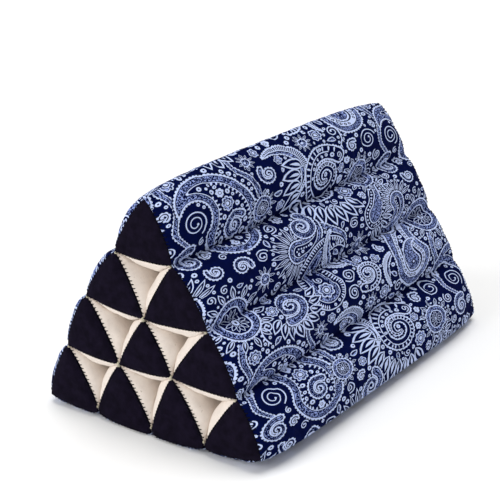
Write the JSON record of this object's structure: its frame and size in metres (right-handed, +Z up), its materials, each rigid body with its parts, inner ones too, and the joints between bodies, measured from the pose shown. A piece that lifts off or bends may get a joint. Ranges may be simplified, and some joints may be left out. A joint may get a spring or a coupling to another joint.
{
  "type": "triangle cushion",
  "caption": "Triangular prism cushion of stuffed cotton tubes with a printed cover, dark end triangles and open pockets, to sit or lean on.",
  "frame": {"origin": "on the surface the cushion rests on, under the middle of its bounding box", "axes": "+X along the tubes, from the near end of the picture to the far end; +Z up; +Y towards the left side of the picture"},
  "size_m": [0.51, 0.332, 0.2915],
  "materials": {
    "printed_cotton": "plain-weave cotton, navy ground with a periwinkle print",
    "dark_cotton": "plain-weave cotton, near-black navy",
    "cream_cotton": "undyed cotton calico"
  },
  "bodies": {
    "root": {"tube_1_1": "cream_cotton", "tube_2_1": "cream_cotton", "tube_2_2": "cream_cotton", "tube_3_1": "cream_cotton", "tube_3_2": "cream_cotton", "tube_3_3": "cream_cotton", "tube_4_1": "cream_cotton", "tube_4_2": "cream_cotton", "tube_4_3": "cream_cotton", "tube_4_4": "cream_cotton", "near_triangle_1_1": "dark_cotton", "near_triangle_2_1": "dark_cotton", "near_triangle_2_2": "dark_cotton", "near_triangle_3_1": "dark_cotton", "near_triangle_3_2": "dark_cotton", "near_triangle_3_3": "dark_cotton", "near_triangle_4_1": "dark_cotton", "near_triangle_4_2": "dark_cotton", "near_triangle_4_3": "dark_cotton", "near_triangle_4_4": "dark_cotton", "far_triangle_1_1": "dark_cotton", "far_triangle_2_1": "dark_cotton", "far_triangle_2_2": "dark_cotton", "far_triangle_3_1": "dark_cotton", "far_triangle_3_2": "dark_cotton", "far_triangle_3_3": "dark_cotton", "far_triangle_4_1": "dark_cotton", "far_triangle_4_2": "dark_cotton", "far_triangle_4_3": "dark_cotton", "far_triangle_4_4": "dark_cotton", "cover_left": "printed_cotton", "cover_base": "printed_cotton", "cover_right": "printed_cotton"}
  },
  "joints": []
}
